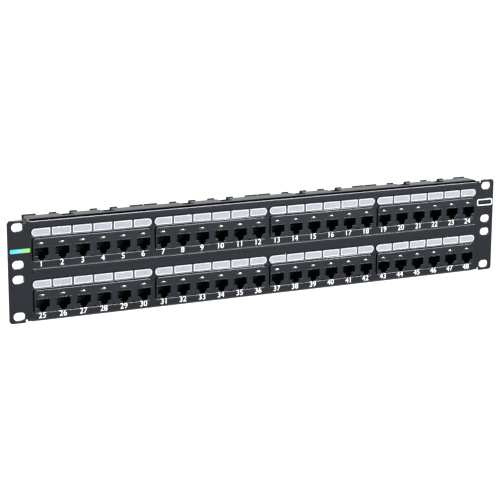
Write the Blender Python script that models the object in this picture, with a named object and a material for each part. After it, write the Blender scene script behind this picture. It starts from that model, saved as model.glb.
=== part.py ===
"""A two-unit, 19-inch rack patch panel with 48 jacks in eight six-port modules.

Frame: +X right, +Y back, +Z up, metres. The origin is the centre of the mounting plane, which is the
rear face of the steel sheet, where the ears bear on the rack's rails. Sizes below are in millimetres.
"""

import math

import bmesh
import bpy

MM = 0.001

# Rack standard: two units high, 19 inches wide
PANEL_WIDTH = 482.6
PANEL_HEIGHT = 88.1
UNIT = 44.45
SLOT_COLUMN_X = 232.55
SLOT_OFFSETS_Z = (6.35, 38.1)
SLOT_LENGTH = 10.0
SLOT_HEIGHT = 6.8

# Steel sheet
SHEET = 1.6
FRONT = -SHEET
EAR_CORNER = 3.0
CHANNEL_HALF = 221.5
BEND_OUTER = 2.4
BEND_INNER = 0.8
FLANGE_DEPTH = 17.0
RELIEF_FROM = 225.2
RELIEF_TO = 227.0
RELIEF_DEPTH = 2.8
RIB_HALF = 220.5
RIB_LOW = -2.3
RIB_HIGH = 1.85
RIB_PROUD = 0.8
RIB_EDGE = 0.7

# Modules: four across and two rows, each with six ports
GROUPS = 4
ROWS = 2
PORTS = 6
GROUP_PITCH = 110.95
PORT_PITCH = 18.42
GAP = 0.3
FACE = -3.1

# Jack housing, heights from the middle of its rack unit
HOUSING_HALF = 55.2
HOUSING_LOW = -19.8
HOUSING_HIGH = 19.95
HOUSING_BACK = 20.4
BLOCK_HALF = 53.5
BLOCK_LOW = -14.0
BLOCK_HIGH = 5.5
BLOCK_CORNER = 2.75
JACK_TOP = -2.875
JACK_FLOOR = -9.525
JACK_STEP = -12.025
JACK_NOTCH = -13.35
JACK_WIDTH = 12.1
STEP_WIDTH = 6.25
NOTCH_WIDTH = 4.0
TUNNEL_BACK = 11.9
TRAY_ROOM_HALF = 5.6
TRAY_ROOM_TOP = -1.1
TRAY_ROOM_FRONT = 2.6
POCKET_HALF = 53.4
POCKET_LOW = -17.6
POCKET_HIGH = 17.8

# Snap hooks and the battlements of the housing's rear wall
HOOK_SPACING = PORT_PITCH
HOOK_WIDTH = 9.4
HOOK_FRONT = 5.4
HOOK_BACK = 12.0
HOOK_REACH = 21.6
FLANGE_NOTCH_WIDTH = 10.4
FLANGE_NOTCH_FRONT = 4.7
MERLON_WIDTH = 7.0
MERLON_FRONT = 18.9
MERLON_TOP = 21.7

# Designation label under its clear cover
LABEL_Z = 10.575
LABEL_LENGTH = 108.6
LABEL_HEIGHT = 6.9
SEAT_FRONT = -1.8
CARD_BACK = -2.1
CARD_FRONT = -2.3
COVER_BACK = -2.6
COVER_FRONT = -3.2
PIN_X = 50.8
PIN_RADIUS = 0.8
PIN_BACK = 1.6
PIN_HOLE_RADIUS = 1.1
PIN_HOLE_BACK = 2.4

# Contact carrier
CARRIER_HALF = 53.0
CARRIER_LOW = -14.5
CARRIER_HIGH = 2.0
CARRIER_FRONT = 12.2
CARRIER_BACK = 20.1
TRAY_HALF = 5.3
TRAY_LOW = -2.6
TRAY_HIGH = -1.4
TRAY_FRONT = 3.0

# Circuit board and the punch-down blocks on its back
BOARD_HALF = 54.0
BOARD_LOW = -18.0
BOARD_HIGH = 17.6
BOARD_FRONT = 20.7
BOARD_BACK = 22.3
IDC_HALF = 46.5
IDC_Z = 8.0
IDC_HEIGHT = 8.4
IDC_FRONT = 22.6
IDC_FLOOR = 28.2
IDC_BACK = 36.4
IDC_PAIRS = 12
IDC_FIN_WIDTH = 2.8
IDC_FIN_TIP = 1.4

CLEARANCE = 0.35
CUT_PAST = 2.0

MATERIALS = {
    "powder_coat": ((0.016, 0.017, 0.020, 1.0), 0.55, 0.0, 1.0),
    "black_plastic": ((0.012, 0.012, 0.014, 1.0), 0.38, 0.0, 1.0),
    "carrier_plastic": ((0.008, 0.008, 0.009, 1.0), 0.45, 0.0, 1.0),
    "circuit_board": ((0.010, 0.075, 0.030, 1.0), 0.40, 0.0, 1.0),
    "idc_plastic": ((0.020, 0.020, 0.022, 1.0), 0.42, 0.0, 1.0),
    "label_card": ((0.78, 0.81, 0.84, 1.0), 0.70, 0.0, 1.0),
    "clear_cover": ((0.95, 0.97, 1.00, 1.0), 0.08, 0.0, 0.2),
}


def clear_scene():
    for item in list(bpy.data.objects):
        bpy.data.objects.remove(item, do_unlink=True)


def material(name):
    colour, roughness, metallic, alpha = MATERIALS[name]
    made = bpy.data.materials.new(name)
    made.use_nodes = True
    shader = made.node_tree.nodes["Principled BSDF"]
    shader.inputs["Base Color"].default_value = colour
    shader.inputs["Roughness"].default_value = roughness
    shader.inputs["Metallic"].default_value = metallic
    shader.inputs["Alpha"].default_value = alpha
    return made


def arc(centre_u, centre_v, radius, start, stop, steps):
    """Points on an arc, from one angle to another in degrees, both ends included."""
    points = []
    for i in range(steps + 1):
        angle = math.radians(start + (stop - start) * i / steps)
        points.append((centre_u + radius * math.cos(angle), centre_v + radius * math.sin(angle)))
    return points


def rounded(half_width, low, high, radius, steps=3, u=0.0):
    """A rectangle with round corners, about u, from low to high."""
    left, right = u - half_width + radius, u + half_width - radius
    bottom, top = low + radius, high - radius
    return (
        arc(right, top, radius, 0, 90, steps)
        + arc(left, top, radius, 90, 180, steps)
        + arc(left, bottom, radius, 180, 270, steps)
        + arc(right, bottom, radius, 270, 360, steps)
    )


def stadium(length, height, u=0.0, v=0.0, steps=6):
    """A bar with half-round ends, centred on (u, v)."""
    radius = height / 2
    reach = length / 2 - radius
    return arc(u + reach, v, radius, -90, 90, steps) + arc(u - reach, v, radius, 90, 270, steps)


def box_outline(u_low, u_high, v_low, v_high):
    return [(u_low, v_low), (u_high, v_low), (u_high, v_high), (u_low, v_high)]


def prism(outline, low, high, along="Y"):
    """An outline pushed out along an axis. Its two values are the other two axes, in X, Y, Z order."""
    place = {
        "X": lambda u, v, w: (w, u, v),
        "Y": lambda u, v, w: (u, w, v),
        "Z": lambda u, v, w: (u, v, w),
    }[along]
    count = len(outline)
    points = [place(u, v, low) for u, v in outline] + [place(u, v, high) for u, v in outline]
    faces = [tuple(range(count)), tuple(range(2 * count - 1, count - 1, -1))]
    for i in range(count):
        after = (i + 1) % count
        faces.append((i, i + count, after + count, after))
    return points, faces


def mesh_of(name, bodies):
    """One mesh from closed bodies, scaled to metres, with every face pointing out."""
    work = bmesh.new()
    for points, faces in bodies:
        made = [work.verts.new([value * MM for value in point]) for point in points]
        for face in faces:
            work.faces.new([made[i] for i in face])
    bmesh.ops.recalc_face_normals(work, faces=work.faces)
    mesh = bpy.data.meshes.new(name)
    work.to_mesh(mesh)
    work.free()
    return mesh


def boolean(base, other, operation):
    """The mesh that a Boolean leaves of base and other."""
    first = bpy.data.objects.new("boolean_base", base)
    second = bpy.data.objects.new("boolean_other", other)
    for item in (first, second):
        bpy.context.collection.objects.link(item)
    change = first.modifiers.new("boolean", "BOOLEAN")
    change.operation = operation
    change.solver = "EXACT"
    change.object = second
    seen = first.evaluated_get(bpy.context.evaluated_depsgraph_get())
    result = bpy.data.meshes.new_from_object(seen)
    bpy.data.objects.remove(first)
    bpy.data.objects.remove(second)
    result.name = base.name
    return result


def finished(mesh, finish):
    """The mesh with its material, and round stretches shaded smooth."""
    mesh.materials.clear()
    mesh.materials.append(finish)
    mesh.shade_smooth()
    mesh.set_sharp_from_angle(angle=math.radians(30))
    return mesh


def place(name, mesh, location=(0.0, 0.0, 0.0), parent=None):
    """An object at a place given in millimetres, in its parent's frame."""
    made = bpy.data.objects.new(name, mesh)
    made.location = [value * MM for value in location]
    made.parent = parent
    bpy.context.collection.objects.link(made)
    return made


def port_places():
    """The six ports' middles, from the middle of their module."""
    return [(i - (PORTS - 1) / 2) * PORT_PITCH for i in range(PORTS)]


def module_places():
    """Each module's number and the place of its middle, along the upper row first."""
    places = []
    for row in range(ROWS):
        for group in range(GROUPS):
            x = (group - (GROUPS - 1) / 2) * GROUP_PITCH
            z = ((ROWS - 1) / 2 - row) * UNIT
            places.append((row * GROUPS + group + 1, x, z))
    return places


# Front panel


def channel_profile():
    """Half of the bent sheet's section, from the middle up over the bend to the flange's rear edge."""
    top = PANEL_HEIGHT / 2
    back = FRONT + FLANGE_DEPTH
    bend_y, bend_z = FRONT + BEND_OUTER, top - BEND_OUTER
    outer = arc(bend_y, bend_z, BEND_OUTER, 180, 90, 5)
    inner = arc(bend_y, bend_z, BEND_INNER, 90, 180, 3)
    return [(FRONT, 0.0)] + outer + [(back, top), (back, top - SHEET)] + inner + [(0.0, 0.0)]


def channel():
    """The sheet between the ears, with its two flanges, as one bent section."""
    upper = channel_profile()
    lower = [(y, -z) for y, z in reversed(upper[1:-1])]
    return prism(upper[:-1] + lower, -CHANNEL_HALF, CHANNEL_HALF, along="X")


def ear_outline(side):
    """One ear, from its round corners to where it runs into the channel, with the bend reliefs."""
    top = PANEL_HEIGHT / 2
    edge = PANEL_WIDTH / 2
    shoulder = top - BEND_OUTER
    inside = CHANNEL_HALF - 1.5
    upper = arc(edge - EAR_CORNER, top - EAR_CORNER, EAR_CORNER, 0, 90, 4)
    upper += [(RELIEF_TO, top), (RELIEF_TO, top - RELIEF_DEPTH)]
    upper += [(RELIEF_FROM, top - RELIEF_DEPTH), (RELIEF_FROM, shoulder + 1.4)]
    upper += [(CHANNEL_HALF + 0.3, shoulder + 1.4), (CHANNEL_HALF + 0.3, shoulder), (inside, shoulder)]
    lower = [(x, -z) for x, z in reversed(upper)]
    return [(side * x, z) for x, z in upper + lower]


def rib():
    """The raised bead between the two rows, with sloping edges."""
    back = FRONT + SHEET / 2
    front = FRONT - RIB_PROUD
    outline = [
        (back, RIB_LOW),
        (FRONT, RIB_LOW),
        (front, RIB_LOW + RIB_EDGE),
        (front, RIB_HIGH - RIB_EDGE / 2),
        (front + RIB_EDGE / 3, RIB_HIGH),
        (back, RIB_HIGH),
    ]
    return prism(outline, -RIB_HALF, RIB_HALF, along="X")


def panel_cutters():
    """Everything that is punched out of the sheet and its flanges."""
    front, back = FRONT - CUT_PAST, CUT_PAST
    cutters = []
    for _, x, z in module_places():
        label = stadium(LABEL_LENGTH + 2 * CLEARANCE, LABEL_HEIGHT + 2 * CLEARANCE, x, z + LABEL_Z)
        cutters.append(prism(label, front, back))
        half = BLOCK_HALF + CLEARANCE
        block = rounded(half, z + BLOCK_LOW - CLEARANCE, z + BLOCK_HIGH + CLEARANCE, BLOCK_CORNER, u=x)
        cutters.append(prism(block, front, back))
    for side in (-1, 1):
        for up in (-1, 1):
            for offset in SLOT_OFFSETS_Z:
                slot = stadium(SLOT_LENGTH, SLOT_HEIGHT, side * SLOT_COLUMN_X, up * (UNIT - offset))
                cutters.append(prism(slot, front, back))
    for _, x, z in module_places():
        flange = math.copysign(PANEL_HEIGHT / 2, z)
        for hook_x in (x - HOOK_SPACING, x + HOOK_SPACING):
            half = FLANGE_NOTCH_WIDTH / 2
            notch = box_outline(hook_x - half, hook_x + half, FLANGE_NOTCH_FRONT, FLANGE_DEPTH + CUT_PAST)
            cutters.append(prism(notch, flange - CUT_PAST, flange + CUT_PAST, along="Z"))
    return cutters


def front_panel():
    sheet = mesh_of("front_panel", [channel()])
    ears = [prism(ear_outline(side), FRONT, 0.0) for side in (-1, 1)]
    sheet = boolean(sheet, mesh_of("ears", ears), "UNION")
    sheet = boolean(sheet, mesh_of("rib", [rib()]), "UNION")
    return boolean(sheet, mesh_of("punches", panel_cutters()), "DIFFERENCE")


# Jack housing


def jack_outline(x):
    """A jack's mouth: the plug's body, and two steps below it for the plug's latch."""
    half, step, notch = JACK_WIDTH / 2, STEP_WIDTH / 2, NOTCH_WIDTH / 2
    right = [
        (notch, JACK_NOTCH),
        (notch, JACK_STEP),
        (step, JACK_STEP),
        (step, JACK_FLOOR),
        (half, JACK_FLOOR),
        (half, JACK_TOP),
    ]
    left = [(-u, v) for u, v in reversed(right)]
    return [(x + u, v) for u, v in right + left]


def hook(x, up):
    """A snap hook: a ramp that rises towards the back and drops off square."""
    root = HOUSING_HIGH - 1.0 if up > 0 else HOUSING_LOW + 1.0
    outline = [
        (HOOK_FRONT, root),
        (HOOK_FRONT, up * (HOUSING_HIGH + 0.1)),
        (HOOK_BACK - 0.8, up * HOOK_REACH),
        (HOOK_BACK, up * HOOK_REACH),
        (HOOK_BACK, root),
    ]
    return prism(outline, x - HOOK_WIDTH / 2, x + HOOK_WIDTH / 2, along="X")


def battlements():
    """The tabs on the rear wall's top: one behind each port, with the end ones out to the corners."""
    half = MERLON_WIDTH / 2
    places = port_places()
    spans = [(x - half, x + half) for x in places]
    spans[0] = (-HOUSING_HALF, spans[0][1])
    spans[-1] = (spans[-1][0], HOUSING_HALF)
    root = HOUSING_HIGH - 1.0
    return [
        prism(box_outline(low, high, root, MERLON_TOP), MERLON_FRONT, HOUSING_BACK) for low, high in spans
    ]


def jack_housing():
    body = prism(box_outline(-HOUSING_HALF, HOUSING_HALF, HOUSING_LOW, HOUSING_HIGH), GAP, HOUSING_BACK)
    block = prism(rounded(BLOCK_HALF, BLOCK_LOW, BLOCK_HIGH, BLOCK_CORNER), FACE, GAP + 1.0)
    seat = prism(stadium(LABEL_LENGTH, LABEL_HEIGHT, 0.0, LABEL_Z), SEAT_FRONT, GAP + 1.0)
    hooks = [hook(x, up) for x in (-HOOK_SPACING, HOOK_SPACING) for up in (-1, 1)]
    mesh = mesh_of("jack_housing", [body])
    mesh = boolean(mesh, mesh_of("raised", [block, seat] + hooks + battlements()), "UNION")
    cutters = []
    pocket = box_outline(-POCKET_HALF, POCKET_HALF, POCKET_LOW, POCKET_HIGH)
    cutters.append(prism(pocket, TUNNEL_BACK, HOUSING_BACK + CUT_PAST))
    for x in (-PIN_X, PIN_X):
        hole = arc(x, LABEL_Z, PIN_HOLE_RADIUS, 0, 315, 7)
        cutters.append(prism(hole, SEAT_FRONT - CUT_PAST, PIN_HOLE_BACK))
    mesh = boolean(mesh, mesh_of("pockets", cutters), "DIFFERENCE")
    tunnels = [prism(jack_outline(x), FACE - CUT_PAST, TUNNEL_BACK + 1.0) for x in port_places()]
    mesh = boolean(mesh, mesh_of("tunnels", tunnels), "DIFFERENCE")
    rooms = []
    for x in port_places():
        room = box_outline(x - TRAY_ROOM_HALF, x + TRAY_ROOM_HALF, JACK_TOP - 0.5, TRAY_ROOM_TOP)
        rooms.append(prism(room, TRAY_ROOM_FRONT, TUNNEL_BACK + 1.0))
    return boolean(mesh, mesh_of("tray_rooms", rooms), "DIFFERENCE")


# Contacts, board and punch-down blocks


def contact_carrier():
    """The bar behind the jacks, with one tray for each jack's eight contact wires."""
    bar = box_outline(-CARRIER_HALF, CARRIER_HALF, CARRIER_LOW, CARRIER_HIGH)
    trays = []
    for x in port_places():
        tray = box_outline(x - TRAY_HALF, x + TRAY_HALF, TRAY_LOW, TRAY_HIGH)
        trays.append(prism(tray, TRAY_FRONT, CARRIER_FRONT + 1.0))
    mesh = mesh_of("contact_carrier", [prism(bar, CARRIER_FRONT, CARRIER_BACK)])
    return boolean(mesh, mesh_of("trays", trays), "UNION")


def circuit_board():
    outline = box_outline(-BOARD_HALF, BOARD_HALF, BOARD_LOW, BOARD_HIGH)
    return mesh_of("circuit_board", [prism(outline, BOARD_FRONT, BOARD_BACK)])


def idc_outline():
    """A comb: a base bar, and tapering fins that part the wire pairs."""
    pitch = (2 * IDC_HALF - IDC_FIN_WIDTH) / IDC_PAIRS
    half, tip = IDC_FIN_WIDTH / 2, IDC_FIN_TIP / 2
    points = [(-IDC_HALF, IDC_FRONT), (-IDC_HALF, IDC_FLOOR)]
    for i in range(IDC_PAIRS + 1):
        x = -IDC_HALF + half + i * pitch
        if i > 0:
            points.append((x - half, IDC_FLOOR))
        points += [(x - tip, IDC_BACK), (x + tip, IDC_BACK)]
        points.append((x + half, IDC_FLOOR))
    points.append((IDC_HALF, IDC_FRONT))
    return points


def idc_block():
    return mesh_of("idc_block", [prism(idc_outline(), -IDC_HEIGHT / 2, IDC_HEIGHT / 2, along="Z")])


# Label


def label_card():
    """The paper card, punched at both ends for the cover's pins."""
    card = mesh_of("label_card", [prism(stadium(LABEL_LENGTH, LABEL_HEIGHT), CARD_FRONT, CARD_BACK)])
    holes = [
        prism(arc(x, 0.0, PIN_HOLE_RADIUS, 0, 315, 7), CARD_FRONT - 1.0, CARD_BACK + 1.0)
        for x in (-PIN_X, PIN_X)
    ]
    return boolean(card, mesh_of("card_holes", holes), "DIFFERENCE")


def label_cover():
    """The clear strip over the card, with a pin at each end that pushes into the housing."""
    strip = mesh_of("label_cover", [prism(stadium(LABEL_LENGTH, LABEL_HEIGHT), COVER_FRONT, COVER_BACK)])
    pins = [
        prism(arc(x, 0.0, PIN_RADIUS, 0, 315, 7), (COVER_FRONT + COVER_BACK) / 2, PIN_BACK)
        for x in (-PIN_X, PIN_X)
    ]
    return boolean(strip, mesh_of("pins", pins), "UNION")


def build():
    clear_scene()
    finishes = {name: material(name) for name in MATERIALS}
    housing = finished(jack_housing(), finishes["black_plastic"])
    carrier = finished(contact_carrier(), finishes["carrier_plastic"])
    board = finished(circuit_board(), finishes["circuit_board"])
    idc = finished(idc_block(), finishes["idc_plastic"])
    card = finished(label_card(), finishes["label_card"])
    cover = finished(label_cover(), finishes["clear_cover"])
    place("front_panel", finished(front_panel(), finishes["powder_coat"]))
    for number, x, z in module_places():
        module = place(f"module_{number}", None, (x, 0.0, z))
        place(f"jack_housing_{number}", housing, parent=module)
        place(f"contact_carrier_{number}", carrier, parent=module)
        place(f"circuit_board_{number}", board, parent=module)
        place(f"idc_block_upper_{number}", idc, (0.0, 0.0, IDC_Z), module)
        place(f"idc_block_lower_{number}", idc, (0.0, 0.0, -IDC_Z), module)
        place(f"label_card_{number}", card, (0.0, 0.0, LABEL_Z), module)
        place(f"label_cover_{number}", cover, (0.0, 0.0, LABEL_Z), module)


build()
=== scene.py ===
"""The looks of a two-unit, 48-port patch panel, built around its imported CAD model.

Sizes are in millimetres and turned into metres where a mesh is made. Heights inside a module are
counted from the middle of its rack unit, as in the CAD.
"""

import math

import bmesh
import bpy
from mathutils import Matrix, Vector


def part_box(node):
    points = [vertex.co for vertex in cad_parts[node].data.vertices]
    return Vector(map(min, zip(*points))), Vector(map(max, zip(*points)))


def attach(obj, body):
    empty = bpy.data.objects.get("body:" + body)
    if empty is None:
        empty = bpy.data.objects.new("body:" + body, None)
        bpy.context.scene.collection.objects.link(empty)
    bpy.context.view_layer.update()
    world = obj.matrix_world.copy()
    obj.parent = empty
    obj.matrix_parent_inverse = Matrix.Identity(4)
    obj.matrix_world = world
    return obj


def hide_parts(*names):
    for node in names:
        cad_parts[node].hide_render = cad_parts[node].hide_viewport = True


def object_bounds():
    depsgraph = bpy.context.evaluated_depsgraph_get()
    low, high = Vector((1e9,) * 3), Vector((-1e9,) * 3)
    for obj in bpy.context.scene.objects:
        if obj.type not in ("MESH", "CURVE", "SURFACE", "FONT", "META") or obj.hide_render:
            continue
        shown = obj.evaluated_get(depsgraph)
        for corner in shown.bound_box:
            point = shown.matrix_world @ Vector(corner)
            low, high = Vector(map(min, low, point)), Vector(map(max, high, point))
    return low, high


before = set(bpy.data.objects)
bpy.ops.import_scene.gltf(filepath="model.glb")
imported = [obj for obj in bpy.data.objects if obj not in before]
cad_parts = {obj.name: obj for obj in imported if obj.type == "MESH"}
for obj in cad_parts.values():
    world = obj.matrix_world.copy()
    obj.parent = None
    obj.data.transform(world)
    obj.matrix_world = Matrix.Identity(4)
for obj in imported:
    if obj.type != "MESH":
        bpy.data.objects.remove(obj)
cad_low, cad_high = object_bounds()

MM = 0.001
WELD = 1e-6
PAST = 2.0      # how far a cutter runs past a wall that it goes through
OVERLAP = 1.0   # how far joined bodies reach into each other, and a cutter past a face

# Sheet
SHEET = 1.6
BEND_OUTER = 2.4
BEND_INNER = 0.8
CHANNEL_HALF = 221.5
FLANGE_DEPTH = 17.0
EAR_CORNER = 3.0
RELIEF_FROM, RELIEF_TO, RELIEF_DEPTH = 225.2, 227.0, 2.8
RIB_HALF, RIB_LOW, RIB_HIGH, RIB_PROUD, RIB_EDGE = 220.5, -2.3, 1.85, 0.8, 0.6
RIB_FAIRING = 0.7
EAR_OVERLAP, SHOULDER_RISE, SHOULDER_PAST = 1.5, 1.4, 0.3
SLOT_X, SLOT_ROWS_Z = 232.55, (6.35, 38.1)
SLOT_LENGTH, SLOT_HEIGHT = 10.0, 6.8
NOTCH_WIDTH, NOTCH_FRONT = 10.4, 4.7
SHEET_EDGE = 0.38

# Modules
PORTS = 6
PORT_PITCH = 18.42
MODULES = range(1, 9)
CLEARANCE = 0.35
FACE, HOUSING_FRONT, HOUSING_BACK = -3.1, 0.3, 20.4
HOUSING_HALF, HOUSING_LOW, HOUSING_HIGH = 55.2, -19.8, 19.95
BLOCK_HALF, BLOCK_LOW, BLOCK_HIGH, BLOCK_CORNER = 53.5, -14.0, 5.5, 2.75
HOUSING_EDGE = 0.5
POCKET_HALF, POCKET_LOW, POCKET_HIGH, POCKET_FRONT = 53.4, -17.6, 17.8, 11.9
HOOK_WIDTH, HOOK_FRONT, HOOK_BACK, HOOK_REACH = 9.4, 5.4, 12.0, 21.6
HOOK_LIP, HOOK_TIP = 0.1, 0.8
MERLON_WIDTH, MERLON_FRONT, MERLON_TOP = 7.0, 18.9, 22.15

# Jacks
JACK_TOP, JACK_FLOOR, JACK_STEP, JACK_NOTCH = -2.875, -9.525, -12.025, -13.35
JACK_HALF, STEP_HALF, NOTCH_HALF = 6.05, 3.125, 2.0
TRAY_ROOM_HALF, TRAY_ROOM_TOP, TRAY_ROOM_FRONT = 5.6, -1.1, 2.6
BEZEL_HALF, BEZEL_LOW, BEZEL_HIGH, BEZEL_CORNER = 7.1, -13.85, -2.0, 0.5
BEZEL_PROUD, BEZEL_SUNK, BEZEL_MOUTH, BEZEL_EDGE = 0.12, 0.5, 0.16, 0.09
NUB_Z, NUB_HALF_WIDTH, NUB_HALF_HEIGHT, NUB_PROUD = 1.2, 3.1, 1.3, 0.7
NUB_OFFSET, NUB_SUNK = -0.6, 0.05
CONTACTS = 8
CONTACT_PITCH = 1.02
CONTACT_WIDTH, CONTACT_THICK = 0.42, 0.28
CONTACT_PATH = [(9.6, -3.0), (5.6, -3.1), (5.1, -3.45), (5.4, -3.9), (6.3, -4.5), (10.2, -7.2), (11.6, -7.8)]

# Labels
LABEL_Z = 10.575
LABEL_LENGTH, LABEL_HEIGHT = 108.6, 6.9
SEAT_FRONT = -1.8
CARD_BACK, CARD_FRONT = -2.1, -2.3
COVER_BACK, COVER_FRONT, COVER_EDGE = -2.6, -3.2, 0.15
PIN_X, PIN_RADIUS, PIN_BACK = 50.8, 0.8, 1.6
HOLE_RADIUS, HOLE_BACK = 1.1, 2.4
CELL_GAP, CELL_CORNER = 1.25, 0.25
# The rim's margin leaves the card's black showing along its edge: painted shade for the gap round the label.
RIM_MARGIN, LINE_MARGIN, FIELD_MARGIN = 0.35, 1.05, 1.4
PRINT_STEP = 0.03

# Numbers
NUMBER_Z, NUMBER_HEIGHT, NUMBER_RAISED = -16.6, 4.9, 0.03

# Plain marks on the ears
MARK_RAISED, MARK_SUNK = 0.04, 0.02
BAR_X, BAR_Z, BAR_HALF, BAR_HEIGHT, BAR_CORNER = -230.6, 17.9, 8.8, 3.4, 0.8
PLATE_X, PLATE_Z, PLATE_HALF, PLATE_HEIGHT, PLATE_CORNER = 231.6, 22.2, 8.6, 6.2, 1.8
PLATE_INNER_WIDTH, PLATE_INNER_HEIGHT = 0.89, 0.72

# Punch-down blocks and board
IDC_HALF, IDC_HEIGHT, IDC_Z = 46.5, 8.4, 8.0
IDC_FRONT, IDC_FLOOR, IDC_BACK = 22.6, 28.2, 36.4
FIN, FIN_TIP = 2.8, 1.4
IDC_PAIRS, IDC_EDGE = 12, 0.14
IDC_PITCH = (2 * IDC_HALF - FIN) / IDC_PAIRS
LOW_FIN, LOW_FIN_TIP, LOW_FIN_BACK = 2.0, 0.9, 33.6
BLADE_THICK, BLADE_GAP, BLADE_HALF_HEIGHT, BLADE_TOP, BLADE_ROOT = 0.32, 0.14, 2.6, 31.8, 0.2
BOARD_BACK = 22.3
SOLDER_RADIUS, SOLDER_HEIGHT, SOLDER_PITCH = 0.62, 0.55, 1.27

# Camera
CAMERA_PLACE = (-0.6389, -1.2573, 0.3077)
CAMERA_YAW, CAMERA_PITCH, CAMERA_ROLL = 26.32, 12.43, 0.21
CAMERA_LENS, CAMERA_SENSOR = 116.14, 36.0


# Shapes


def arc(centre_u, centre_v, radius, start, stop, steps):
    """Points on an arc, from one angle to another in degrees, both ends included."""
    points = []
    for i in range(steps + 1):
        angle = math.radians(start + (stop - start) * i / steps)
        points.append((centre_u + radius * math.cos(angle), centre_v + radius * math.sin(angle)))
    return points


def rounded(half_width, low, high, radius, u=0.0, steps=8):
    left, right = u - half_width + radius, u + half_width - radius
    bottom, top = low + radius, high - radius
    return (
        arc(right, top, radius, 0, 90, steps)
        + arc(left, top, radius, 90, 180, steps)
        + arc(left, bottom, radius, 180, 270, steps)
        + arc(right, bottom, radius, 270, 360, steps)
    )


def stadium(length, height, u=0.0, v=0.0, steps=20):
    radius = height / 2
    reach = length / 2 - radius
    return arc(u + reach, v, radius, -90, 90, steps) + arc(u - reach, v, radius, 90, 270, steps)


def circle(u, v, radius, sides=24):
    return arc(u, v, radius, 0, 360 - 360 / sides, sides - 1)


def rectangle(u_low, u_high, v_low, v_high):
    return [(u_low, v_low), (u_high, v_low), (u_high, v_high), (u_low, v_high)]


def prism(outline, low, high, along="Y", paint=0):
    """An outline pushed out along an axis: its points, its faces and its material's number."""
    spot = {
        "X": lambda u, v, w: (w, u, v),
        "Y": lambda u, v, w: (u, w, v),
        "Z": lambda u, v, w: (u, v, w),
    }[along]
    count = len(outline)
    points = [spot(u, v, low) for u, v in outline] + [spot(u, v, high) for u, v in outline]
    faces = [tuple(range(count)), tuple(range(2 * count - 1, count - 1, -1))]
    for i in range(count):
        after = (i + 1) % count
        faces.append((i, i + count, after + count, after))
    return points, faces, paint


def mesh_of(name, bodies):
    """One mesh from closed bodies, in metres, with every face pointing out."""
    work = bmesh.new()
    for points, faces, paint in bodies:
        made = [work.verts.new([value * MM for value in point]) for point in points]
        for face in faces:
            work.faces.new([made[i] for i in face]).material_index = paint
    bmesh.ops.recalc_face_normals(work, faces=work.faces)
    mesh = bpy.data.meshes.new(name)
    work.to_mesh(mesh)
    work.free()
    return mesh


def evaluated(mesh, change):
    """The mesh after the modifiers that change() puts on it."""
    holder = bpy.data.objects.new("holder", mesh)
    bpy.context.scene.collection.objects.link(holder)
    change(holder)
    seen = holder.evaluated_get(bpy.context.evaluated_depsgraph_get())
    result = bpy.data.meshes.new_from_object(seen)
    bpy.data.objects.remove(holder)
    result.name = mesh.name
    return result


def boolean(base, other, operation):
    tool = bpy.data.objects.new("tool", other)
    bpy.context.scene.collection.objects.link(tool)

    def change(holder):
        modifier = holder.modifiers.new("boolean", "BOOLEAN")
        modifier.operation = operation
        modifier.solver = "EXACT"
        modifier.object = tool

    result = evaluated(base, change)
    bpy.data.objects.remove(tool)
    return result


def bevelled(mesh, width, segments=2, angle=32):
    """The mesh with its sharp edges rounded."""
    work = bmesh.new()
    work.from_mesh(mesh)
    bmesh.ops.remove_doubles(work, verts=work.verts, dist=WELD)
    work.to_mesh(mesh)
    work.free()

    def change(holder):
        modifier = holder.modifiers.new("bevel", "BEVEL")
        modifier.width = width * MM
        modifier.segments = segments
        modifier.limit_method = "ANGLE"
        modifier.angle_limit = math.radians(angle)
        modifier.use_clamp_overlap = False
        modifier.miter_outer = "MITER_ARC"

    return evaluated(mesh, change)


def smooth(mesh, angle=35):
    """The mesh shaded smooth over its rounded edges, with its large faces kept flat."""
    mesh.shade_smooth()
    mesh.set_sharp_from_angle(angle=math.radians(angle))

    def change(holder):
        modifier = holder.modifiers.new("normals", "WEIGHTED_NORMAL")
        modifier.keep_sharp = True
        modifier.weight = 100

    return evaluated(mesh, change)


def piece(name, mesh, finishes, body="root", replaces=(), at=(0.0, 0.0)):
    """An object that rides on a body, with its finishes and the CAD nodes it stands for."""
    made = bpy.data.objects.new(name, mesh)
    made.location = (at[0], 0.0, at[1])
    bpy.context.scene.collection.objects.link(made)
    if not mesh.materials:
        for finish in finishes:
            mesh.materials.append(finish)
    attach(made, body)
    if replaces:
        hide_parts(*replaces)
    return made


# Finishes


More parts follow.
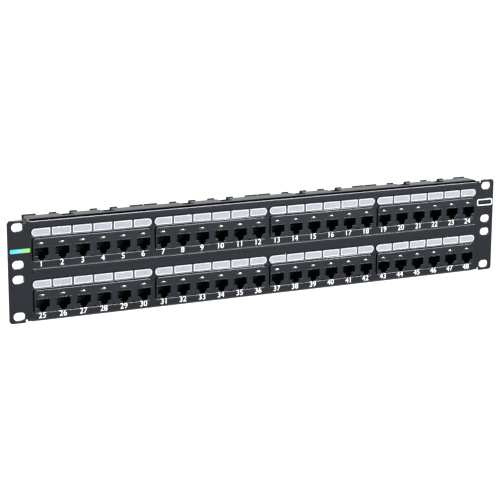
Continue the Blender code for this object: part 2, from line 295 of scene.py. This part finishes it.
class Nodes:
    """A material's node tree, with short ways to add the nodes that the finishes use."""

    def __init__(self, name):
        self.material = bpy.data.materials.new(name)
        self.material.use_nodes = True
        self.tree = self.material.node_tree
        self.shader = self.tree.nodes["Principled BSDF"]
        self.place = self.add("ShaderNodeTexCoord").outputs["Object"]

    def add(self, kind, **inputs):
        node = self.tree.nodes.new(kind)
        for name, value in inputs.items():
            node.inputs[name.replace("_", " ")].default_value = value
        return node

    def link(self, source, target):
        self.tree.links.new(source, target)

    def noise(self, scale, detail=3.0, roughness=0.5):
        node = self.add("ShaderNodeTexNoise", Scale=scale, Detail=detail, Roughness=roughness)
        self.link(self.place, node.inputs["Vector"])
        return node.outputs["Fac"]

    def ramp(self, value, stops):
        """A colour ramp through (position, colour) stops."""
        node = self.add("ShaderNodeValToRGB")
        elements = node.color_ramp.elements
        while len(elements) < len(stops):
            elements.new(0.5)
        for element, (position, colour) in zip(elements, stops):
            element.position = position
            element.color = (*colour, 1.0)
        self.link(value, node.inputs["Fac"])
        return node.outputs["Color"]

    def spread(self, value, low, high):
        """The value, stretched so that a noise's usual range runs from low to high."""
        node = self.add("ShaderNodeMapRange")
        for name, number in (("From Min", 0.3), ("From Max", 0.7), ("To Min", low), ("To Max", high)):
            node.inputs[name].default_value = number
        self.link(value, node.inputs["Value"])
        return node.outputs["Result"]

    def bump(self, height, strength, distance, below=None):
        node = self.add("ShaderNodeBump", Strength=strength, Distance=distance)
        self.link(height, node.inputs["Height"])
        if below:
            self.link(below, node.inputs["Normal"])
        return node.outputs["Normal"]

    def set(self, **values):
        for name, value in values.items():
            self.shader.inputs[name.replace("_", " ")].default_value = value

    def wear(self, colour=None, roughness=None, normal=None):
        for source, name in ((colour, "Base Color"), (roughness, "Roughness"), (normal, "Normal")):
            if source:
                self.link(source, self.shader.inputs[name])
        return self.material


def powder_coat():
    """Fine-textured black powder coat: a pebbled skin with slow changes of tone and gloss."""
    n = Nodes("powder_coat")
    n.set(Specular_IOR_Level=0.5, Specular_Tint=(0.88, 0.94, 1.0, 1.0))
    tone = n.ramp(n.noise(14.0, 4.0), [(0.3, (0.0016, 0.0024, 0.0046)), (0.7, (0.0028, 0.0038, 0.0066))])
    gloss = n.spread(n.noise(60.0, 3.0), 0.08, 0.12)
    pebble = n.bump(n.noise(2600.0, 2.0), 0.12, 0.00004)
    skin = n.bump(n.noise(420.0, 2.0), 0.08, 0.0001, pebble)
    return n.wear(tone, gloss, skin)


def moulded(name, dark, light, gloss, grain=3200.0, specular=0.42):
    """Black moulded plastic with a spark-eroded grain."""
    n = Nodes(name)
    n.set(Specular_IOR_Level=specular, Specular_Tint=(0.88, 0.94, 1.0, 1.0))
    tone = n.ramp(n.noise(30.0, 4.0), [(0.3, dark), (0.7, light)])
    roughness = n.spread(n.noise(90.0, 3.0), gloss - 0.03, gloss + 0.04)
    return n.wear(tone, roughness, n.bump(n.noise(grain, 2.0), 0.1, 0.00004))


def polished():
    """Black plastic moulded in a polished tool."""
    n = Nodes("polished_plastic")
    n.set(Specular_IOR_Level=1.0, Coat_Weight=1.0, Coat_Roughness=0.06)
    tone = n.ramp(n.noise(90.0, 3.0), [(0.3, (0.0040, 0.0045, 0.0055)), (0.7, (0.0060, 0.0066, 0.0078))])
    return n.wear(tone, n.spread(n.noise(400.0, 3.0), 0.08, 0.14))


def solder_mask():
    """Green solder mask over copper: traces show as slightly lighter, raised lanes."""
    n = Nodes("circuit_board")
    n.set(Coat_Weight=0.35, Coat_Roughness=0.12)
    lanes = n.add("ShaderNodeTexWave", Scale=95.0, Distortion=5.0, Detail=1.0, Detail_Scale=0.35)
    n.link(n.place, lanes.inputs["Vector"])
    copper = n.ramp(lanes.outputs["Fac"], [(0.62, (0.006, 0.050, 0.020)), (0.70, (0.014, 0.098, 0.040))])
    return n.wear(copper, n.spread(n.noise(120.0), 0.25, 0.4), n.bump(lanes.outputs["Fac"], 0.2, 0.00004))


def metal(name, dark, light, roughness):
    n = Nodes(name)
    n.set(Metallic=1.0)
    tone = n.ramp(n.noise(700.0, 3.0), [(0.3, dark), (0.7, light)])
    return n.wear(tone, n.spread(n.noise(1500.0), roughness - 0.05, roughness + 0.08))


def paper(name, dark, light):
    """Smooth card, with a faint fibre."""
    n = Nodes(name)
    tone = n.ramp(n.noise(420.0, 5.0), [(0.3, dark), (0.7, light)])
    return n.wear(tone, n.spread(n.noise(200.0), 0.5, 0.62), n.bump(n.noise(2500.0, 4.0), 0.15, 0.00003))


def ink(name, dark, light):
    """Screen-printed ink, a little uneven in its gloss."""
    n = Nodes(name)
    tone = n.ramp(n.noise(900.0, 3.0), [(0.3, dark), (0.7, light)])
    return n.wear(tone, n.spread(n.noise(800.0), 0.4, 0.55), n.bump(n.noise(3000.0), 0.1, 0.00002))


def clear_plastic():
    """Clear polycarbonate, mostly see-through, with faint rub marks in its gloss."""
    n = Nodes("clear_cover")
    n.set(Alpha=0.10, IOR=1.58, Coat_Weight=1.0, Coat_Roughness=0.04)
    tone = n.ramp(n.noise(60.0), [(0.3, (0.020, 0.022, 0.026)), (0.7, (0.030, 0.033, 0.038))])
    return n.wear(tone, n.spread(n.noise(260.0, 5.0), 0.05, 0.16))


def two_tone(name, left, right, start, stop):
    """Ink that runs from one colour to another along X."""
    n = Nodes(name)
    split = n.add("ShaderNodeSeparateXYZ")
    n.link(n.place, split.inputs[0])
    along = n.add("ShaderNodeMapRange")
    along.inputs["From Min"].default_value = start * MM
    along.inputs["From Max"].default_value = stop * MM
    n.link(split.outputs["X"], along.inputs["Value"])
    colour = n.ramp(along.outputs["Result"], [(0.2, left), (0.8, right)])
    return n.wear(colour, n.spread(n.noise(800.0), 0.4, 0.55))


COAT = powder_coat()
BLACKS = (0.0032, 0.0042, 0.0064), (0.0050, 0.0063, 0.0090)
MATT_BLACKS = (0.0026, 0.0030, 0.0040), (0.0042, 0.0048, 0.0060)
PLASTIC = moulded("black_plastic", *BLACKS, 0.10, specular=0.5)
JACK_PLASTIC = moulded("jack_plastic", *BLACKS, 0.10, 5200.0, 0.5)
MATT_PLASTIC = moulded("matt_plastic", *MATT_BLACKS, 0.5, specular=0.15)
NUB_PLASTIC = polished()
CARRIER = moulded("carrier_plastic", (0.0030, 0.0030, 0.0034), (0.0048, 0.0048, 0.0054), 0.42, specular=0.25)
IDC_PLASTIC = moulded("idc_plastic", (0.0130, 0.0130, 0.0145), (0.0190, 0.0190, 0.0210), 0.38)
BOARD = solder_mask()
GOLD = metal("gold_plate", (0.62, 0.40, 0.12), (0.86, 0.60, 0.24), 0.22)
TIN = metal("tin_plate", (0.46, 0.46, 0.47), (0.72, 0.72, 0.73), 0.3)
# The card's black: printed separators between the cells, and painted shade in the thin band along the card's
# edge.
CARD_BLACK_AND_PAINTED_SHADE = paper("label_separator_and_painted_shade", (0.010, 0.010, 0.012), (0.016, 0.016, 0.018))
CARD_WHITE = paper("label_border", (0.90, 0.91, 0.92), (0.95, 0.96, 0.97))
CARD_LINE = paper("label_line", (0.30, 0.32, 0.36), (0.36, 0.38, 0.42))
CARD_FIELD = paper("label_field", (0.37, 0.405, 0.46), (0.43, 0.47, 0.525))
CLEAR = clear_plastic()
WHITE_INK = ink("white_ink", (0.80, 0.80, 0.80), (0.92, 0.92, 0.92))


# Places, from the frame


def middle(node):
    low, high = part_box(node)
    return (low + high) / 2


def module_place(n):
    """The middle of a module's rack unit, which lies midway between its two punch-down blocks."""
    upper, lower = middle(f"idc_block_upper_{n}"), middle(f"idc_block_lower_{n}")
    return upper.x, (upper.z + lower.z) / 2


PLACES = {n: module_place(n) for n in MODULES}
PORT_X = [(i - (PORTS - 1) / 2) * PORT_PITCH for i in range(PORTS)]
SHEET_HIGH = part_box("front_panel")[1]
HALF_WIDTH = SHEET_HIGH.x / MM
HALF_HEIGHT = SHEET_HIGH.z / MM
FRONT = -SHEET


def everywhere(name, mesh, finishes, replaces=(), body="root"):
    """The same mesh in all eight modules."""
    for n in MODULES:
        nodes = [node.format(n=n) for node in replaces]
        piece(f"{name}_{n}", mesh, finishes, body.format(n=n), nodes, PLACES[n])


# Front panel


def sheet_section():
    """The bent sheet's section: up the front, over the bend, along the flange and back inside."""
    top = HALF_HEIGHT
    bend_y, bend_z = FRONT + BEND_OUTER, top - BEND_OUTER
    back = FRONT + FLANGE_DEPTH
    upper = [(FRONT, 0.0)] + arc(bend_y, bend_z, BEND_OUTER, 180, 90, 10)
    upper += [(back, top), (back, top - SHEET)]
    upper += arc(bend_y, bend_z, BEND_INNER, 90, 180, 6) + [(0.0, 0.0)]
    lower = [(y, -z) for y, z in reversed(upper[1:-1])]
    return upper[:-1] + lower


def ear(side):
    """An ear's plate on one side, with the reliefs that end its bends, top and bottom alike."""
    top, shoulder = HALF_HEIGHT, HALF_HEIGHT - BEND_OUTER
    step, inside = CHANNEL_HALF + SHOULDER_PAST, CHANNEL_HALF - EAR_OVERLAP
    upper = arc(HALF_WIDTH - EAR_CORNER, top - EAR_CORNER, EAR_CORNER, 0, 90, 10)
    upper += [(RELIEF_TO, top), (RELIEF_TO, top - RELIEF_DEPTH)]
    upper += [(RELIEF_FROM, top - RELIEF_DEPTH), (RELIEF_FROM, shoulder + SHOULDER_RISE)]
    upper += [(step, shoulder + SHOULDER_RISE), (step, shoulder), (inside, shoulder)]
    outline = upper + [(x, -z) for x, z in reversed(upper)]
    return prism([(side * x, z) for x, z in outline], FRONT, 0.0)


def rib():
    """The raised bead between the rows, rounded at its top edge and faired out below."""
    front, back = FRONT - RIB_PROUD, FRONT + SHEET / 2
    outline = [(back, RIB_LOW), (FRONT, RIB_LOW), (front, RIB_LOW + RIB_FAIRING)]
    outline += arc(front + RIB_EDGE, RIB_HIGH - RIB_EDGE, RIB_EDGE, 180, 90, 6)
    outline += [(back, RIB_HIGH)]
    return prism(outline, -RIB_HALF, RIB_HALF, along="X")


def punches():
    """Cutters for the labels, the jack blocks, the hooks' notches and the rack slots."""
    front, back = FRONT - PAST, PAST
    cutters = []
    for x, z in PLACES.values():
        u, v = x / MM, z / MM
        length, height = LABEL_LENGTH + 2 * CLEARANCE, LABEL_HEIGHT + 2 * CLEARANCE
        cutters.append(prism(stadium(length, height, u, v + LABEL_Z), front, back))
        low, high = v + BLOCK_LOW - CLEARANCE, v + BLOCK_HIGH + CLEARANCE
        cutters.append(prism(rounded(BLOCK_HALF + CLEARANCE, low, high, BLOCK_CORNER, u), front, back))
        edge = math.copysign(HALF_HEIGHT, v)
        for centre in (u - PORT_PITCH, u + PORT_PITCH):
            left, right = centre - NOTCH_WIDTH / 2, centre + NOTCH_WIDTH / 2
            notch = rectangle(left, right, NOTCH_FRONT, FLANGE_DEPTH + PAST)
            cutters.append(prism(notch, edge - PAST, edge + PAST, along="Z"))
    for x in (-SLOT_X, SLOT_X):
        for z in (*SLOT_ROWS_Z, *(-row for row in SLOT_ROWS_Z)):
            cutters.append(prism(stadium(SLOT_LENGTH, SLOT_HEIGHT, x, z), front, back))
    return cutters


def make_panel():
    mesh = mesh_of("panel_sheet", [prism(sheet_section(), -CHANNEL_HALF, CHANNEL_HALF, along="X")])
    mesh = boolean(mesh, mesh_of("ears", [ear(-1), ear(1)]), "UNION")
    mesh = boolean(mesh, mesh_of("punches", punches()), "DIFFERENCE")
    mesh = smooth(bevelled(mesh, SHEET_EDGE))
    piece("panel_sheet", mesh, [COAT], replaces=["front_panel"])
    piece("panel_rib", smooth(mesh_of("panel_rib", [rib()])), [COAT])


# Modules: housing, jacks and contacts


def jack_outline(x, grow=0.0):
    """A jack's mouth, as wide and high as its steps, or wider by grow all round."""
    right = [(NOTCH_HALF, JACK_NOTCH - grow), (NOTCH_HALF, JACK_STEP - grow), (STEP_HALF, JACK_STEP - grow)]
    right += [(STEP_HALF, JACK_FLOOR - grow), (JACK_HALF, JACK_FLOOR - grow), (JACK_HALF, JACK_TOP + grow)]
    return [(x + u + grow, v) for u, v in right] + [(x - u - grow, v) for u, v in reversed(right)]


def hook(x, up):
    """A snap hook on the housing's top (up is 1) or bottom (up is -1), which holds it in the sheet."""
    root = HOUSING_HIGH - OVERLAP if up > 0 else HOUSING_LOW + OVERLAP
    outline = [(HOOK_FRONT, root), (HOOK_FRONT, up * (HOUSING_HIGH + HOOK_LIP))]
    outline += [(HOOK_BACK - HOOK_TIP, up * HOOK_REACH), (HOOK_BACK, up * HOOK_REACH), (HOOK_BACK, root)]
    return prism(outline, x - HOOK_WIDTH / 2, x + HOOK_WIDTH / 2, along="X")


def merlons():
    """The battlements on the rear wall: one behind each port, with the end ones out to the corners."""
    spans = [[x - MERLON_WIDTH / 2, x + MERLON_WIDTH / 2] for x in PORT_X]
    spans[0][0], spans[-1][1] = -HOUSING_HALF, HOUSING_HALF
    root = HOUSING_HIGH - OVERLAP
    return [prism(rectangle(*span, root, MERLON_TOP), MERLON_FRONT, HOUSING_BACK) for span in spans]


def make_housings():
    """The modules' shells. Their fronts are glossier than what stands behind the sheet."""
    shell = rectangle(-HOUSING_HALF, HOUSING_HALF, HOUSING_LOW, HOUSING_HIGH)
    mesh = mesh_of("housing", [prism(shell, HOUSING_FRONT, HOUSING_BACK)])
    root = HOUSING_FRONT + OVERLAP
    raised = [prism(rounded(BLOCK_HALF, BLOCK_LOW, BLOCK_HIGH, BLOCK_CORNER), FACE, root)]
    raised.append(prism(stadium(LABEL_LENGTH, LABEL_HEIGHT, 0.0, LABEL_Z), SEAT_FRONT, root))
    raised += [hook(x, up) for x in (-PORT_PITCH, PORT_PITCH) for up in (-1, 1)]
    mesh = boolean(mesh, mesh_of("raised", raised + merlons()), "UNION")
    pocket = rectangle(-POCKET_HALF, POCKET_HALF, POCKET_LOW, POCKET_HIGH)
    pockets = [prism(pocket, POCKET_FRONT, HOUSING_BACK + PAST)]
    for x in (-PIN_X, PIN_X):
        pockets.append(prism(circle(x, LABEL_Z, HOLE_RADIUS), SEAT_FRONT - OVERLAP, HOLE_BACK))
    mesh = boolean(mesh, mesh_of("pockets", pockets), "DIFFERENCE")
    tunnels = [prism(jack_outline(x), FACE - OVERLAP, POCKET_FRONT + OVERLAP) for x in PORT_X]
    mesh = boolean(mesh, mesh_of("tunnels", tunnels), "DIFFERENCE")
    rooms = []
    for x in PORT_X:
        room = rectangle(x - TRAY_ROOM_HALF, x + TRAY_ROOM_HALF, JACK_TOP - OVERLAP / 2, TRAY_ROOM_TOP)
        rooms.append(prism(room, TRAY_ROOM_FRONT, POCKET_FRONT + OVERLAP))
    mesh = boolean(mesh, mesh_of("tray_rooms", rooms), "DIFFERENCE")
    mesh = smooth(bevelled(mesh, HOUSING_EDGE))
    for face in mesh.polygons:
        face.material_index = 1 if face.center.y > HOUSING_FRONT * MM else 0
    everywhere("housing", mesh, [PLASTIC, MATT_PLASTIC], ["jack_housing_{n}"])


def make_bezels():
    """The rim of each jack, a hair proud of the housing's face."""
    plates, mouths = [], []
    for x in PORT_X:
        outline = rounded(BEZEL_HALF, BEZEL_LOW, BEZEL_HIGH, BEZEL_CORNER, x, 4)
        plates.append(prism(outline, FACE - BEZEL_PROUD, FACE + BEZEL_SUNK))
        mouths.append(prism(jack_outline(x, BEZEL_MOUTH), FACE - OVERLAP, FACE + OVERLAP))
    mesh = boolean(mesh_of("jack_bezels", plates), mesh_of("mouths", mouths), "DIFFERENCE")
    everywhere("jack_bezels", smooth(bevelled(mesh, BEZEL_EDGE)), [JACK_PLASTIC])


def nub(x):
    """A low glossy dome over a port: rings of an ellipsoid's front half."""
    around, rings = 20, 6
    points, faces = [(x, FACE - NUB_PROUD, NUB_Z)], []
    for ring in range(1, rings + 1):
        tilt = math.pi / 2 * ring / rings
        for i in range(around):
            turn = 2 * math.pi * i / around
            u = x + NUB_HALF_WIDTH * math.sin(tilt) * math.cos(turn)
            v = NUB_Z + NUB_HALF_HEIGHT * math.sin(tilt) * math.sin(turn)
            points.append((u, FACE - NUB_PROUD * math.cos(tilt) + NUB_SUNK, v))
    for i in range(around):
        after = (i + 1) % around
        faces.append((0, 1 + i, 1 + after))
        for ring in range(rings - 1):
            a, b = 1 + ring * around, 1 + (ring + 1) * around
            faces.append((a + i, b + i, b + after, a + after))
    last = 1 + (rings - 1) * around
    faces.append(tuple(last + i for i in reversed(range(around))))
    return points, faces, 0


def make_nubs():
    mesh = smooth(mesh_of("port_nubs", [nub(x + NUB_OFFSET) for x in PORT_X]), 60)
    everywhere("port_nubs", mesh, [NUB_PLASTIC])


def contact_wire(x):
    """One spring wire: out of the tray, round its tip and slanting down towards the back."""
    half = CONTACT_WIDTH / 2
    outer = []
    for i, (y, z) in enumerate(CONTACT_PATH):
        before, after = CONTACT_PATH[max(i - 1, 0)], CONTACT_PATH[min(i + 1, len(CONTACT_PATH) - 1)]
        run = Vector((after[0] - before[0], after[1] - before[1])).normalized()
        outer.append((y - run.y * CONTACT_THICK, z + run.x * CONTACT_THICK))
    return prism(CONTACT_PATH + outer[::-1], x - half, x + half, along="X")


def make_contacts():
    wires = []
    for port in PORT_X:
        for i in range(CONTACTS):
            wires.append(contact_wire(port + (i - (CONTACTS - 1) / 2) * CONTACT_PITCH))
    mesh = smooth(mesh_of("contact_wires", wires), 50)
    everywhere("contact_wires", mesh, [GOLD])


# Labels


def cell(index, margin, front, back, paint):
    """One port's cell on the card. The cells at the ends follow the card's round ends."""
    half_gap = CELL_GAP / 2
    left = (index - PORTS / 2) * PORT_PITCH + half_gap
    right = (index + 1 - PORTS / 2) * PORT_PITCH - half_gap
    radius = LABEL_HEIGHT / 2 - margin
    end = LABEL_LENGTH / 2 - LABEL_HEIGHT / 2
    if index == 0:
        outline = arc(-end, 0.0, radius, 90, 270, 20) + [(right - margin, -radius), (right - margin, radius)]
    elif index == PORTS - 1:
        outline = arc(end, 0.0, radius, -90, 90, 20) + [(left + margin, radius), (left + margin, -radius)]
    else:
        outline = rounded((right - left) / 2 - margin, -radius, radius, CELL_CORNER, (left + right) / 2, 3)
    return prism([(u, v + LABEL_Z) for u, v in outline], front, back, paint=paint)


def make_labels():
    """The printed cards: each port's white border, thin line and grey field lie in steps on black, which is
    print between the cells and painted shade in the thin band along the card's edge.
    """
    card = stadium(LABEL_LENGTH, LABEL_HEIGHT, 0.0, LABEL_Z)
    # The black card under the print; its band along the edge is painted shade for the gap round the label.
    bodies = [prism(card, CARD_FRONT + 2 * PRINT_STEP, CARD_BACK)]
    for index in range(PORTS):
        for paint, margin in ((1, RIM_MARGIN), (2, LINE_MARGIN), (3, FIELD_MARGIN)):
            front = CARD_FRONT + (2 - 2 * paint / 3) * PRINT_STEP
            bodies.append(cell(index, margin, front, front + PRINT_STEP, paint))
    mesh = smooth(mesh_of("label_card", bodies))
    finishes = [CARD_BLACK_AND_PAINTED_SHADE, CARD_WHITE, CARD_LINE, CARD_FIELD]
    everywhere("printed_card", mesh, finishes, ["label_card_{n}"])


def make_covers():
    """The clear strips over the cards, each with two pins that press into the housing."""
    outline = stadium(LABEL_LENGTH, LABEL_HEIGHT, 0.0, LABEL_Z)
    strip = mesh_of("cover", [prism(outline, COVER_FRONT, COVER_BACK)])
    root = (COVER_FRONT + COVER_BACK) / 2
    pins = [prism(circle(x, LABEL_Z, PIN_RADIUS), root, PIN_BACK) for x in (-PIN_X, PIN_X)]
    mesh = boolean(strip, mesh_of("pins", pins), "UNION")
    mesh = smooth(bevelled(mesh, COVER_EDGE))
    everywhere("clear_cover", mesh, [CLEAR], ["label_cover_{n}"], "cover_{n}")


# Print


def numeral(text):
    """A numeral as a flat mesh of the height wanted, centred on the origin in X and Z."""
    curve = bpy.data.curves.new("numeral", "FONT")
    curve.body = text
    curve.align_x = "CENTER"
    curve.offset = 0.001     # offset and extrude are shares of the font's size
    curve.extrude = 0.004
    curve.resolution_u = 4
    holder = bpy.data.objects.new("numeral", curve)
    bpy.context.scene.collection.objects.link(holder)
    seen = holder.evaluated_get(bpy.context.evaluated_depsgraph_get())
    mesh = bpy.data.meshes.new_from_object(seen)
    bpy.data.objects.remove(holder)
    heights = [v.co.y for v in mesh.vertices]
    widths = [v.co.x for v in mesh.vertices]
    scale = NUMBER_HEIGHT * MM / (max(heights) - min(heights))
    centre = Vector(((max(widths) + min(widths)) / 2, (max(heights) + min(heights)) / 2, 0.0))
    upright = Matrix.Rotation(math.pi / 2, 4, "X")
    mesh.transform(upright @ Matrix.Scale(scale, 4) @ Matrix.Translation(-centre))
    return mesh


def make_numbers():
    for n in MODULES:
        x, z = PLACES[n]
        work = bmesh.new()
        for i, port in enumerate(PORT_X):
            mesh = numeral(str((n - 1) * PORTS + i + 1))
            spot = Vector((port * MM, (FRONT - NUMBER_RAISED) * MM, NUMBER_Z * MM))
            mesh.transform(Matrix.Translation(spot))
            work.from_mesh(mesh)
            bpy.data.meshes.remove(mesh)
        joined = bpy.data.meshes.new(f"port_numbers_{n}")
        work.to_mesh(joined)
        work.free()
        piece(f"port_numbers_{n}", joined, [WHITE_INK], at=(x, z))


def make_ear_marks():
    """Plain shapes where the real panel has printed marks: a colour bar, and an empty frame."""
    front, back = FRONT - MARK_RAISED, FRONT + MARK_SUNK
    left, right = BAR_X - BAR_HALF, BAR_X + BAR_HALF
    bar_ink = two_tone("colour_bar", (0.02, 0.42, 0.62), (0.16, 0.50, 0.08), left, right)
    low, high = BAR_Z - BAR_HEIGHT / 2, BAR_Z + BAR_HEIGHT / 2
    bar = rounded(BAR_HALF, low, high, BAR_CORNER, BAR_X, 5)
    piece("colour_bar", mesh_of("colour_bar", [prism(bar, front, back)]), [bar_ink])
    low, high = PLATE_Z - PLATE_HEIGHT / 2, PLATE_Z + PLATE_HEIGHT / 2
    outer = rounded(PLATE_HALF, low, high, PLATE_CORNER, PLATE_X, 6)
    inner = []
    for x, z in outer:
        u, v = (x - PLATE_X) * PLATE_INNER_WIDTH, (z - PLATE_Z) * PLATE_INNER_HEIGHT
        inner.append((PLATE_X + u, PLATE_Z + v))
    plate = mesh_of("blank_plate", [prism(outer, front, back)])
    hole = mesh_of("plate_hole", [prism(inner, FRONT - OVERLAP, FRONT + OVERLAP)])
    piece("blank_plate", boolean(plate, hole, "DIFFERENCE"), [WHITE_INK])


# Back


def idc_outline():
    """A punch-down row's comb: tall fins between the pairs, and a low fin between a pair's two wires."""
    points = [(-IDC_HALF, IDC_FRONT), (-IDC_HALF, IDC_FLOOR)]
    for i in range(IDC_PAIRS + 1):
        x = -IDC_HALF + FIN / 2 + i * IDC_PITCH
        if i > 0:
            points.append((x - FIN / 2, IDC_FLOOR))
        points += [(x - FIN_TIP / 2, IDC_BACK), (x + FIN_TIP / 2, IDC_BACK), (x + FIN / 2, IDC_FLOOR)]
        if i < IDC_PAIRS:
            x += IDC_PITCH / 2
            points += [(x - LOW_FIN / 2, IDC_FLOOR), (x - LOW_FIN_TIP / 2, LOW_FIN_BACK)]
            points += [(x + LOW_FIN_TIP / 2, LOW_FIN_BACK), (x + LOW_FIN / 2, IDC_FLOOR)]
    return points + [(IDC_HALF, IDC_FRONT)]


def wire_places():
    """The middle of each wire's slot, between a tall fin and a low one."""
    offset = (IDC_PITCH + FIN - LOW_FIN) / 4
    middles = [-IDC_HALF + FIN / 2 + (i + 0.5) * IDC_PITCH for i in range(IDC_PAIRS)]
    return [x + side * (IDC_PITCH / 2 - offset) for x in middles for side in (-1, 1)]


def make_idc():
    """The punch-down combs, and a split metal blade in each wire's slot."""
    for row, z in (("upper", IDC_Z), ("lower", -IDC_Z)):
        half = IDC_HEIGHT / 2
        mesh = mesh_of(f"idc_{row}", [prism(idc_outline(), z - half, z + half, along="Z")])
        mesh = smooth(bevelled(mesh, IDC_EDGE))
        everywhere(f"idc_{row}", mesh, [IDC_PLASTIC], [f"idc_block_{row}_{{n}}"])
    blades = []
    for x in wire_places():
        for z in (-IDC_Z, IDC_Z):
            for side in (-1, 1):
                ends = sorted((x + side * BLADE_GAP / 2, x + side * (BLADE_GAP / 2 + BLADE_THICK)))
                outline = rectangle(*ends, z - BLADE_HALF_HEIGHT, z + BLADE_HALF_HEIGHT)
                blades.append(prism(outline, IDC_FLOOR - BLADE_ROOT, BLADE_TOP))
    everywhere("idc_blades", smooth(mesh_of("idc_blades", blades)), [TIN])


def solder(x, z):
    """A small fillet of solder round a pin's end."""
    around = 10
    profile = [(SOLDER_RADIUS, 0.0), (SOLDER_RADIUS * 0.62, 0.45), (SOLDER_RADIUS * 0.34, 1.0)]
    points, faces = [], []
    for radius, share in profile:
        y = BOARD_BACK + SOLDER_HEIGHT * share
        points += [(x + u, y, z + v) for u, v in circle(0, 0, radius, around)]
    for ring in range(len(profile) - 1):
        for i in range(around):
            after = (i + 1) % around
            a, b = ring * around, (ring + 1) * around
            faces.append((a + i, a + after, b + after, b + i))
    faces.append(tuple(range(around)))
    top = (len(profile) - 1) * around
    faces.append(tuple(top + i for i in range(around)))
    return points, faces, 0


def make_board_details():
    joints = []
    for port in PORT_X:
        for i in range(CONTACTS):
            x = port + (i - (CONTACTS - 1) / 2) * SOLDER_PITCH
            joints.append(solder(x, SOLDER_PITCH if i % 2 else -SOLDER_PITCH))
    everywhere("solder_joints", smooth(mesh_of("solder_joints", joints), 40), [TIN])


def finish_cad_nodes():
    """New materials for the CAD nodes that are carried over."""
    for n in MODULES:
        for node, finish in ((f"contact_carrier_{n}", CARRIER), (f"circuit_board_{n}", BOARD)):
            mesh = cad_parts[node].data
            mesh.materials.clear()
            mesh.materials.append(finish)


# Stage


def make_camera():
    """The photograph's viewing angle: from the left and above, square to no side."""
    yaw, pitch, roll = (math.radians(angle) for angle in (CAMERA_YAW, CAMERA_PITCH, CAMERA_ROLL))
    ahead = Vector((math.sin(yaw) * math.cos(pitch), math.cos(yaw) * math.cos(pitch), -math.sin(pitch)))
    level = Vector((math.cos(yaw), -math.sin(yaw), 0.0))
    upright = level.cross(ahead)
    right = level * math.cos(roll) + upright * math.sin(roll)
    up = right.cross(ahead)
    data = bpy.data.cameras.new("camera")
    data.sensor_width = CAMERA_SENSOR
    data.lens = CAMERA_LENS
    made = bpy.data.objects.new("camera", data)
    turn = Matrix((right, up, -ahead)).transposed()
    made.matrix_world = Matrix.Translation(CAMERA_PLACE) @ turn.to_4x4()
    bpy.context.scene.collection.objects.link(made)
    bpy.context.scene.camera = made


def softbox(name, place, target, width, height, power):
    data = bpy.data.lights.new(name, "AREA")
    data.shape = "RECTANGLE"
    data.size, data.size_y = width, height
    data.energy = power
    made = bpy.data.objects.new(name, data)
    made.location = place
    made.rotation_mode = "QUATERNION"
    made.rotation_quaternion = (Vector(target) - Vector(place)).to_track_quat("-Z", "Y")
    made.visible_camera = False
    bpy.context.scene.collection.objects.link(made)


def fade(tree, place, levels):
    """A strength that changes smoothly along two axes: each is (axis, from, to, first, last)."""
    split = tree.nodes.new("ShaderNodeSeparateXYZ")
    tree.links.new(place, split.inputs[0])
    both = tree.nodes.new("ShaderNodeMath")
    both.operation = "MULTIPLY"
    for (axis, start, stop, first, last), socket in zip(levels, both.inputs):
        level = tree.nodes.new("ShaderNodeMapRange")
        level.interpolation_type = "SMOOTHSTEP"
        for name, number in (("From Min", start), ("From Max", stop), ("To Min", first), ("To Max", last)):
            level.inputs[name].default_value = number
        tree.links.new(split.outputs[axis], level.inputs["Value"])
        tree.links.new(level.outputs["Result"], socket)
    return both.outputs[0]


def make_world():
    """A white tent at eye level, brighter behind than in front, and open and dark overhead."""
    world = bpy.data.worlds.new("studio")
    bpy.context.scene.world = world
    world.use_nodes = True
    tree = world.node_tree
    tree.nodes.clear()
    place = tree.nodes.new("ShaderNodeTexCoord")
    levels = (("Y", -0.6, 0.4, 0.12, 0.85), ("Z", 0.28, 0.5, 1.0, 0.04))
    level = fade(tree, place.outputs["Generated"], levels)
    glow = tree.nodes.new("ShaderNodeBackground")
    out = tree.nodes.new("ShaderNodeOutputWorld")
    tree.links.new(level, glow.inputs["Strength"])
    tree.links.new(glow.outputs["Background"], out.inputs["Surface"])


def make_floor():
    """A pale table that glows towards the back, so that it reads as white behind the panel."""
    n = Nodes("floor")
    n.set(Emission_Color=(1.0, 1.0, 1.0, 1.0))
    lit = fade(n.tree, n.place, (("X", -1.0, -0.3, 0.2, 1.0), ("Y", -0.9, -0.1, 0.05, 1.0)))
    n.link(lit, n.shader.inputs["Emission Strength"])
    tone = n.ramp(n.noise(1.5), [(0.3, (0.54, 0.54, 0.54)), (0.7, (0.58, 0.58, 0.58))])
    n.wear(tone, n.spread(n.noise(4.0), 0.7, 0.8))
    mesh = bpy.data.meshes.new("floor")
    half, drop = 20.0, cad_low.z - 0.25
    corners = [(x, y, drop) for x, y in rectangle(-half, half, -half, half)]
    mesh.from_pydata(corners, [], [(0, 1, 2, 3)])
    mesh.materials.append(n.material)
    made = bpy.data.objects.new("floor", mesh)
    bpy.context.scene.collection.objects.link(made)


def make_stage():
    make_camera()
    make_world()
    make_floor()
    softbox("right", (4.05, -8.0, 1.4), (4.05, 0.0, 1.4), 3.6, 1.6, 1180.0)
    softbox("middle", (-0.4, -8.0, 1.6), (-0.4, 0.0, 1.6), 5.6, 2.6, 280.0)
    softbox("back", (-2.5, 4.0, 1.5), (0.0, 0.0, 0.0), 2.0, 1.0, 150.0)
    bpy.context.scene.view_settings.view_transform = "Standard"


make_stage()
finish_cad_nodes()
make_panel()
make_housings()
make_bezels()
make_nubs()
make_contacts()
make_labels()
make_covers()
make_numbers()
make_ear_marks()
make_idc()
make_board_details()
